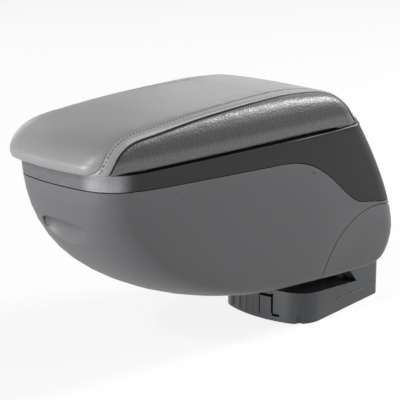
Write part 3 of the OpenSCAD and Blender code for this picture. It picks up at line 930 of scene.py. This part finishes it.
@dataclass
class Seam:
    """The seam between the centre panel and the right side panel, and the stitch row beside it."""

    skin: BVHTree
    route: tuple[tuple[float, float, float], ...] = (
        (53.9, 3.0, -5.2), (55.7, 5.6, 2.0), (56.4, 8.9, 8.0), (56.4, 14.6, 14.2), (55.9, 24.1, 18.7),
        (55.8, 34.3, 20.6), (56.2, 48.9, 22.0), (56.3, 70.0, 24.4), (56.2, 93.2, 26.7),
        (56.2, 115.3, 28.3), (56.0, 136.7, 29.4), (55.5, 157.5, 30.3), (54.8, 179.7, 30.8),
        (54.5, 201.3, 30.7), (54.4, 224.5, 29.4), (55.9, 240.2, 27.2), (58.9, 250.8, 24.0),
        (62.2, 261.2, 17.0), (64.9, 267.6, 8.5), (65.3, 271.6, 2.0), (64.6, 276.5, -4.5))
    steps: int = 500
    # smoothing passes before and after the line is laid on the skin
    passes: tuple[int, int] = (40, 12)
    overrun: float = 14.0
    # points between an end and the one that gives the overrun's direction
    lead: int = 6
    row_near: float = 8.3
    row_far: float = 12.2
    row_turn: Change = Change(80.0, 130.0, 1.0)
    # the centre panel's sure half width; y where the side is told by x, and by the seam's end
    inner: float = 40.0
    by_width: float = 252.0
    by_tail: float = 268.0
    batch: int = 4000
    points: np.ndarray = field(default_factory=lambda: np.zeros((0, 3)))
    out: np.ndarray = field(default_factory=lambda: np.zeros((0, 3)))

    def __post_init__(self) -> None:
        """Lays the seam's line on the skin."""
        way = np.array(self.route)
        chord = np.concatenate([[0], np.cumsum(np.linalg.norm(np.diff(way, axis=0), axis=1))])
        steps = np.linspace(0, chord[-1], self.steps)
        line = np.column_stack([monotone(chord, way[:, i])(steps) for i in range(3)])
        found = [self.skin.find_nearest(Vector(p)) for p in smoothed(line, self.passes[0])]
        line, normals = (smoothed(np.array([f[i][:] for f in found]), self.passes[1]) for i in range(2))
        head = line[0] + self.overshoot(line[0] - line[self.lead])
        tail = line[-1] + self.overshoot(line[-1] - line[-1 - self.lead])
        self.points = np.vstack([head, line, tail])
        normals = np.vstack([normals[0], normals, normals[-1]])
        tangent = np.gradient(self.points, axis=0)
        tangent /= np.linalg.norm(tangent, axis=1, keepdims=True)
        out = np.cross(tangent, normals)
        self.out = out / np.linalg.norm(out, axis=1, keepdims=True)

    def overshoot(self, along: np.ndarray) -> np.ndarray:
        """Step past an end of the line in a direction."""
        return along / np.linalg.norm(along) * self.overrun

    def row(self, y: np.ndarray) -> np.ndarray:
        """Distance from the seam to the stitch row at length positions."""
        return self.row_near + (self.row_far - self.row_near) * self.row_turn.at(y)

    def offset(self, points: np.ndarray) -> np.ndarray:
        """Distance of points from the seam in stitch row distances, above 0 on the centre panel.

        Args:
            points: points in pad coordinates; the left half counts as the right one's mirror image.

        Returns:
            Signed distances, in millimetres on the side panel and ``ROW_LEVEL`` at the stitch row.
        """
        p = points * np.array([1, 1, 1.0])
        p[:, 0] = np.abs(p[:, 0])
        a, b = self.points[:-1], self.points[1:]
        ab = b - a
        result = np.zeros(len(p))
        for start in range(0, len(p), self.batch):
            q = p[start:start + self.batch]
            t = np.einsum("nmi,mi->nm", q[:, None, :] - a[None], ab) / np.maximum((ab * ab).sum(1), 1e-9)
            near = a[None] + np.clip(t, 0, 1)[..., None] * ab[None]
            gap = np.linalg.norm(q[:, None, :] - near, axis=2)
            k = gap.argmin(1)
            rows = np.arange(len(q))
            side = np.einsum("ni,ni->n", q - near[rows, k], self.out[k])
            side[q[:, 0] < self.inner] = -1
            line = near[rows, k][:, 0]
            line = np.where(q[:, 1] > self.by_tail, np.maximum(line, self.points[-2, 0]), line)
            side = np.where(q[:, 1] > self.by_width, q[:, 0] - line, side)
            inward = gap[rows, k] * ROW_LEVEL / self.row(q[:, 1])
            result[start:start + self.batch] = np.where(side > 0, -gap[rows, k], inward)
        return result


@dataclass(frozen=True)
class Puckers:
    """A row of small folds beside the seam, in millimetres."""

    wave: float
    sway: float
    sway_wave: float
    middle: float
    width: float
    lean: float = math.inf
    height: float = 0.10

    def at(self, points: np.ndarray, offset: np.ndarray) -> np.ndarray:
        """Relief of the folds.

        Args:
            points: vertices in pad coordinates.
            offset: their distances from the seam.

        Returns:
            Heights in millimetres.
        """
        _, y, z = points.T
        folds = np.sin(y / self.wave + self.sway * np.sin(y / self.sway_wave) + z / self.lean)
        return self.height * (folds * np.exp(-((offset - self.middle) / self.width) ** 2))


@dataclass
class Stitching:
    """Topstitching along both seams."""

    pitch: float = 3.5
    thick: float = 0.4
    # distances of the row from both ends of the seam's line
    start: float = 11.0
    stop: float = 16.0
    # step that gives the row's direction
    step: float = 0.5
    reach: float = 0.36
    rise: float = 1.3
    # how deep the stitches lie on the right and on the left
    sunk: tuple[float, float] = (0.0, -0.38)
    sides: int = 8
    # half a stitch along, height and thickness of the thread
    profile: tuple[tuple[float, float, float], ...] = (
        (-1, -1.2, 0.45), (-0.86, -0.5, 0.8), (-0.5, -0.1, 1), (0, 0.0, 1), (0.5, -0.1, 1),
        (0.86, -0.5, 0.8), (1, -1.2, 0.45))

    def loop(self, middle: np.ndarray, ahead: np.ndarray, normal: np.ndarray, sunk: float) -> np.ndarray:
        """Vertices of one stitch.

        Args:
            middle: the stitch's place on the skin.
            ahead: direction of the row.
            normal: the skin's normal.
            sunk: how far the stitch is moved along the normal.

        Returns:
            The vertices, ring after ring.
        """
        side = np.cross(normal, ahead)
        verts = []
        for along, lift, fat in self.profile:
            centre = middle + ahead * along * self.pitch * self.reach
            centre = centre + normal * (lift * self.thick * self.rise + sunk)
            for a in (2 * math.pi * i / self.sides for i in range(self.sides)):
                verts.append(centre + (side * math.cos(a) + normal * math.sin(a)) * self.thick * fat)
        return np.array(verts)

    def skin(self, base: int) -> list[tuple[int, ...]]:
        """Faces of one stitch.

        Args:
            base: number of its first vertex.

        Returns:
            The quads and both ends.
        """
        n, rings = self.sides, len(self.profile)
        faces: list[tuple[int, ...]] = []
        for a in range(base, base + (rings - 1) * n, n):
            faces += [(a + i, a + (i + 1) % n, a + n + (i + 1) % n, a + n + i) for i in range(n)]
        faces.append(tuple(range(base + n - 1, base - 1, -1)))
        faces.append(tuple(range(base + (rings - 1) * n, base + rings * n)))
        return faces

    def build(self, seam: Seam, points: np.ndarray, faces: np.ndarray) -> bpy.types.Object:
        """Builds every stitch.

        Args:
            seam: the right seam.
            points: the cover's vertices.
            faces: the cover's triangles.

        Returns:
            One object with all stitches.
        """
        tree = skin_of(points, faces)
        row = seam.points - seam.out * seam.row(seam.points[:, 1:2])
        found = [tree.find_nearest(Vector(p)) for p in row]
        seated, normals = (np.array([f[i][:] for f in found]) for i in range(2))
        run = np.concatenate([[0], np.cumsum(np.linalg.norm(np.diff(seated, axis=0), axis=1))])

        def read(values: np.ndarray, at: float) -> np.ndarray:
            """Reads a row of vectors at a length along the stitches."""
            return np.array([np.interp(at, run, values[:, i]) for i in range(3)])

        verts: list[np.ndarray] = []
        quads: list[tuple[int, ...]] = []
        for centre in np.arange(self.start, run[-1] - self.stop, self.pitch):
            middle, normal = read(seated, centre), read(normals, centre)
            ahead = read(seated, centre + self.step) - middle
            normal /= np.linalg.norm(normal)
            ahead /= np.linalg.norm(ahead)
            for flip, sunk in zip((1, -1), self.sunk):
                made = self.skin(sum(len(v) for v in verts))
                quads += made if flip > 0 else [face[::-1] for face in made]
                verts.append(self.loop(middle, ahead, normal, sunk) * np.array([flip, 1, 1]))
        return mesh_object("pad_stitches", np.vstack(verts), quads, (THREAD,))


@dataclass
class PadCover:
    """Sewn leather cover over the foam pad."""

    form: PadForm = field(default_factory=PadForm)
    stitching: Stitching = field(default_factory=Stitching)
    # distance from the seam towards the centre panel, and height
    relief: tuple[tuple[float, float], ...] = (
        (-22.0, 0.0), (-9.0, 0.15), (-4.0, 0.3), (-1.5, 0.15), (-0.8, -0.3), (-0.25, -1.7), (0.4, -0.7),
        (0.95, 0.5), (1.7, 0.7), (3.4, 0.7), (5.5, 0.55), (7.4, 0.3), (8.3, 0.05), (ROW_LEVEL, -0.4),
        (9.7, 0.0), (10.8, 0.2), (13.5, 0.15), (24.0, 0.0))
    # share of the relief on the left side, from this distance on
    left_share: float = 0.4
    left_from: float = 1.0
    rim: Change = Change(-2.2, 2.4, 1.0)
    swell: float = 0.35
    # wave lengths of the swell: along, its sway across, and its strength across
    swell_waves: tuple[float, float, float] = (31.0, 27.0, 38.0)
    puckers: tuple[Puckers, ...] = (
        Puckers(wave=2.9, sway=1.3, sway_wave=17.0, middle=12.5, width=5.0),
        Puckers(wave=4.3, sway=2.0, sway_wave=23.0, middle=-4.0, width=4.0, lean=5.0))
    tuck: tuple[float, float, float] = (46.5, -6.3, -1.6)
    tuck_radius: float = 1.9
    tuck_depth: float = 1.7
    # faces in this band of seam distances get the painted seam shadow
    fold: tuple[float, float] = (-0.7, 0.8)

    def build(self) -> tuple[bpy.types.Object, bpy.types.Object]:
        """Builds the cover and its stitches.

        Returns:
            The cover and the stitches.
        """
        points, faces = self.form.sheet()
        seam = Seam(skin_of(points, faces))
        sheet = TriangleSheet(points, faces, seam.offset(points))
        for level in [distance for distance, _ in self.relief[1:-1]] + list(self.fold):
            sheet.cut(level)
        points, faces, offset = sheet.points, sheet.faces, sheet.field_values
        height = self.heights(points, offset)
        points = points + point_normals(points, faces) * height[:, None]
        finishes = (CENTRE_LEATHER, SIDE_LEATHER_PAINTED_SHADE, STRIP_LEATHER_PAINTED_HIGHLIGHT, SEAM_SHADE)
        cover = mesh_object("pad_cover", points, faces, finishes, self.panels(offset[faces].mean(1)))
        return cover, self.stitching.build(seam, points, faces)

    def heights(self, points: np.ndarray, offset: np.ndarray) -> np.ndarray:
        """Relief of the cover: seams, swell of the foam, puckers and the tuck at the front corner.

        Args:
            points: vertices in pad coordinates.
            offset: their distances from the seam.

        Returns:
            Heights in millimetres.
        """
        x, y, z = points.T
        height = monotone(*zip(*self.relief))(offset)
        height *= np.where((x < 0) & (offset > self.left_from), self.left_share, 1.0)
        along, sway, fade = self.swell_waves
        soft = self.swell * np.sin(y / along + 0.8 * np.sin(x / sway)) * np.cos(x / fade + 0.4)
        for row in self.puckers:
            soft = soft + row.at(points, offset)
        height = (height + soft) * self.rim.at(z - self.form.underside(y))
        gap = ((points - np.array(self.tuck)) ** 2).sum(axis=1)
        return height - self.tuck_depth * np.exp(-gap / self.tuck_radius ** 2)

    def panels(self, middle: np.ndarray) -> np.ndarray:
        """Part of the cover that each triangle belongs to.

        Args:
            middle: the triangles' distances from the seam.

        Returns:
            The panels' numbers.
        """
        in_fold = (middle > self.fold[0]) & (middle < self.fold[1])
        inward = np.where(middle < ROW_LEVEL, Panel.STRIP, Panel.CENTRE)
        return np.where(in_fold, Panel.FOLD, np.where(middle < 0, Panel.SIDE, inward))


# ---------------------------------------------------------------- CAD pieces


@dataclass
class ShellSet:
    """Finishes for the CAD pieces that are shown as they are."""

    smooth_angle: float = 32.0
    weld: float = 0.002
    finishes: dict[str, Finish] = field(default_factory=lambda: {
        "pad_board": BOARD_PLASTIC, "lid_shell": LID_PLASTIC_PAINTED_SHADE, "lid_liner": SHELL_PLASTIC,
        "lid_keeper": STEEL, "lid_bumpers": RUBBER, "lid_screws": STEEL, "board_screws": STEEL,
        "box_shell": SHELL_PLASTIC, "bin": SHELL_PLASTIC, "bin_mat": RUBBER, "catch_magnet": MAGNET,
        "bin_screws": STEEL, "hinge_leaf": STEEL, "hinge_pin": STEEL, "arm_left": STEEL,
        "arm_right": STEEL, "arm_screws": STEEL, "pivot_housing": SHELL_PLASTIC,
        "pivot_pedestal": ADAPTER_PLASTIC, "pivot_axle": STEEL, "arm_bushes": BUSH_PLASTIC,
        "thrust_washers": STEEL, "spring_washers": STEEL, "axle_nuts": STEEL, "housing_screws": STEEL,
        "adapter_body": ADAPTER_PLASTIC, "base_plate": STEEL, "pedestal_screws": STEEL})

    def smoothing(self) -> bpy.types.NodeTree:
        """Node group that smooths shading over shallow edges.

        Returns:
            The geometry node group.
        """
        tree = bpy.data.node_groups.new("smooth_shallow_edges", "GeometryNodeTree")
        for way in ("INPUT", "OUTPUT"):
            tree.interface.new_socket("Geometry", in_out=way, socket_type="NodeSocketGeometry")
        nodes = Nodes(tree)
        shape = nodes.node("NodeGroupInput").outputs[0]
        for kind, key, number in (("GeometryNodeMergeByDistance", "Distance", self.weld * MM),
                                  ("GeometryNodeRemoveAttribute", "Name", "custom_normal")):
            shape = nodes.node(kind, {0: shape, key: number}).outputs[0]
        shape = nodes.node("GeometryNodeSetShadeSmooth", {0: shape}, domain="FACE").outputs[0]
        angle = nodes.node("GeometryNodeInputMeshEdgeAngle").outputs["Unsigned Angle"]
        limits = {0: angle, 1: math.radians(self.smooth_angle)}
        steep = nodes.node("FunctionNodeCompare", limits, operation="GREATER_THAN").outputs[0]
        feeds = {0: shape, "Selection": steep, "Shade Smooth": False}
        sharp = nodes.node("GeometryNodeSetShadeSmooth", feeds, domain="EDGE")
        nodes.node("NodeGroupOutput", {0: sharp.outputs[0]})
        return tree

    def dress(self) -> None:
        """Gives each CAD piece its finish and smooth shading."""
        group = self.smoothing()
        for name, finish in self.finishes.items():
            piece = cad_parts[name]
            piece.data.materials.clear()
            piece.data.materials.append(finish.material())
            modifier = piece.modifiers.new("smooth", "NODES")
            modifier.node_group = group
            LOG.info("dressed %s with %s", name, finish.name)


# ---------------------------------------------------------------- studio


@dataclass(frozen=True)
class Lamp:
    """A square area lamp, in metres and watts."""

    name: str
    place: tuple[float, float, float]
    size: float
    power: float

    def build(self, aim: Sequence[float]) -> None:
        """Adds the lamp.

        Args:
            aim: the point that it shines at.
        """
        data = bpy.data.lights.new(self.name, "AREA")
        data.energy, data.size, data.shape = self.power, self.size, "SQUARE"
        made = bpy.data.objects.new(self.name, data)
        made.location = self.place
        made.rotation_euler = (Vector(aim) - Vector(self.place)).to_track_quat("-Z", "Y").to_euler()
        bpy.context.scene.collection.objects.link(made)


@dataclass
class Studio:
    """Camera, floor, lamps and surroundings."""

    eye: tuple[float, float, float] = (0.8343, -0.9885, 0.4467)
    azimuth: float = 44.2
    elevation: float = 15.3
    lens: float = 135.0
    sensor: float = 36.0
    clip: tuple[float, float] = (0.05, 50.0)
    aim: tuple[float, float, float] = (0.0, -0.1, 0.12)
    sky: tuple[float, ...] = (0.97, 0.985, 1.0, 1)
    sky_power: float = 0.15
    floor_half: float = 4.0
    floor_level: float = -0.0004
    floor_tone: float = 0.86
    lamps: tuple[Lamp, ...] = (
        Lamp("back_right", (0.8, 1.6, 1.3), 0.5, 50.0),
        Lamp("back_left", (-1.35, 1.55, 0.8), 0.65, 1.6),
        Lamp("right", (1.25, 1.15, 0.85), 0.3, 9.0),
        Lamp("front_high", (0.2, -1.85, 1.4), 0.12, 19.0),
        Lamp("front_low", (-0.1, -1.9, 0.14), 0.22, 31.0),
        Lamp("front_left", (-1.3, -1.35, 0.14), 0.22, 3.0),
        Lamp("left", (-1.8, 0.3, 0.7), 0.8, 4.0))

    def camera(self) -> None:
        """Places the camera at the photograph's viewing angle."""
        data = bpy.data.cameras.new("camera")
        data.lens, data.sensor_width = self.lens, self.sensor
        data.clip_start, data.clip_end = self.clip
        made = bpy.data.objects.new("camera", data)
        a, e = math.radians(self.azimuth), math.radians(self.elevation)
        look = Vector((-math.sin(a) * math.cos(e), math.cos(a) * math.cos(e), -math.sin(e)))
        made.location = self.eye
        made.rotation_euler = look.to_track_quat("-Z", "Y").to_euler()
        bpy.context.scene.collection.objects.link(made)
        bpy.context.scene.camera = made

    def surroundings(self) -> None:
        """Makes the world and the floor white to the camera, with the object's shadow on the floor."""
        world = bpy.data.worlds.new("studio")
        bpy.context.scene.world = world
        world.use_nodes = True
        nodes = Nodes(world.node_tree)
        soft = nodes.node("ShaderNodeBackground", {"Color": self.sky, "Strength": self.sky_power})
        seen = nodes.white_to_eye(soft.outputs[0], "ShaderNodeBackground", 1.0)
        nodes.node("ShaderNodeOutputWorld", {"Surface": seen})
        data = bpy.data.meshes.new("floor")
        half, level, tone = self.floor_half, self.floor_level, self.floor_tone
        data.from_pydata([(-half, -half, level), (half, -half, level), (half, half, level),
                          (-half, half, level)], [], [(0, 1, 2, 3)])
        floor = bpy.data.objects.new("floor", data)
        bpy.context.scene.collection.objects.link(floor)
        material = bpy.data.materials.new("floor_white")
        material.use_nodes = True
        nodes = Nodes(material.node_tree)
        card = nodes.node("ShaderNodeBsdfDiffuse", {"Color": (tone, tone, tone, 1)})
        seen = nodes.white_to_eye(card.outputs[0], "ShaderNodeEmission", tone)
        nodes.node("ShaderNodeOutputMaterial", {"Surface": seen})
        data.materials.append(material)

    def build(self) -> None:
        """Builds the whole studio."""
        self.camera()
        self.surroundings()
        for lamp in self.lamps:
            lamp.build(self.aim)
        bpy.context.scene.view_settings.view_transform = "Standard"
        LOG.info("studio ready")


def seat(piece: bpy.types.Object, body: Body, slot: Slot, *stands_for: str) -> None:
    """Puts a piece on its body and in place of its CAD nodes.

    Args:
        piece: the piece.
        body: the body that it rides on.
        slot: not used.
        *stands_for: CAD nodes that it replaces.
    """
    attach(piece, body.value)
    if stands_for:
        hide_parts(*stands_for)
    LOG.info("built %s with %d faces", piece.name, len(piece.data.polygons))


def main() -> None:
    """Builds the studio and every piece in order."""
    logging.basicConfig(level=logging.INFO)
    Studio().build()
    ShellSet().dress()
    cover, stitches = PadCover().build()
    seat(cover, Body.LID, Slot.LEATHER, "cushion")
    seat(stitches, Body.LID, Slot.LEATHER)


if __name__ == "__main__":
    main()
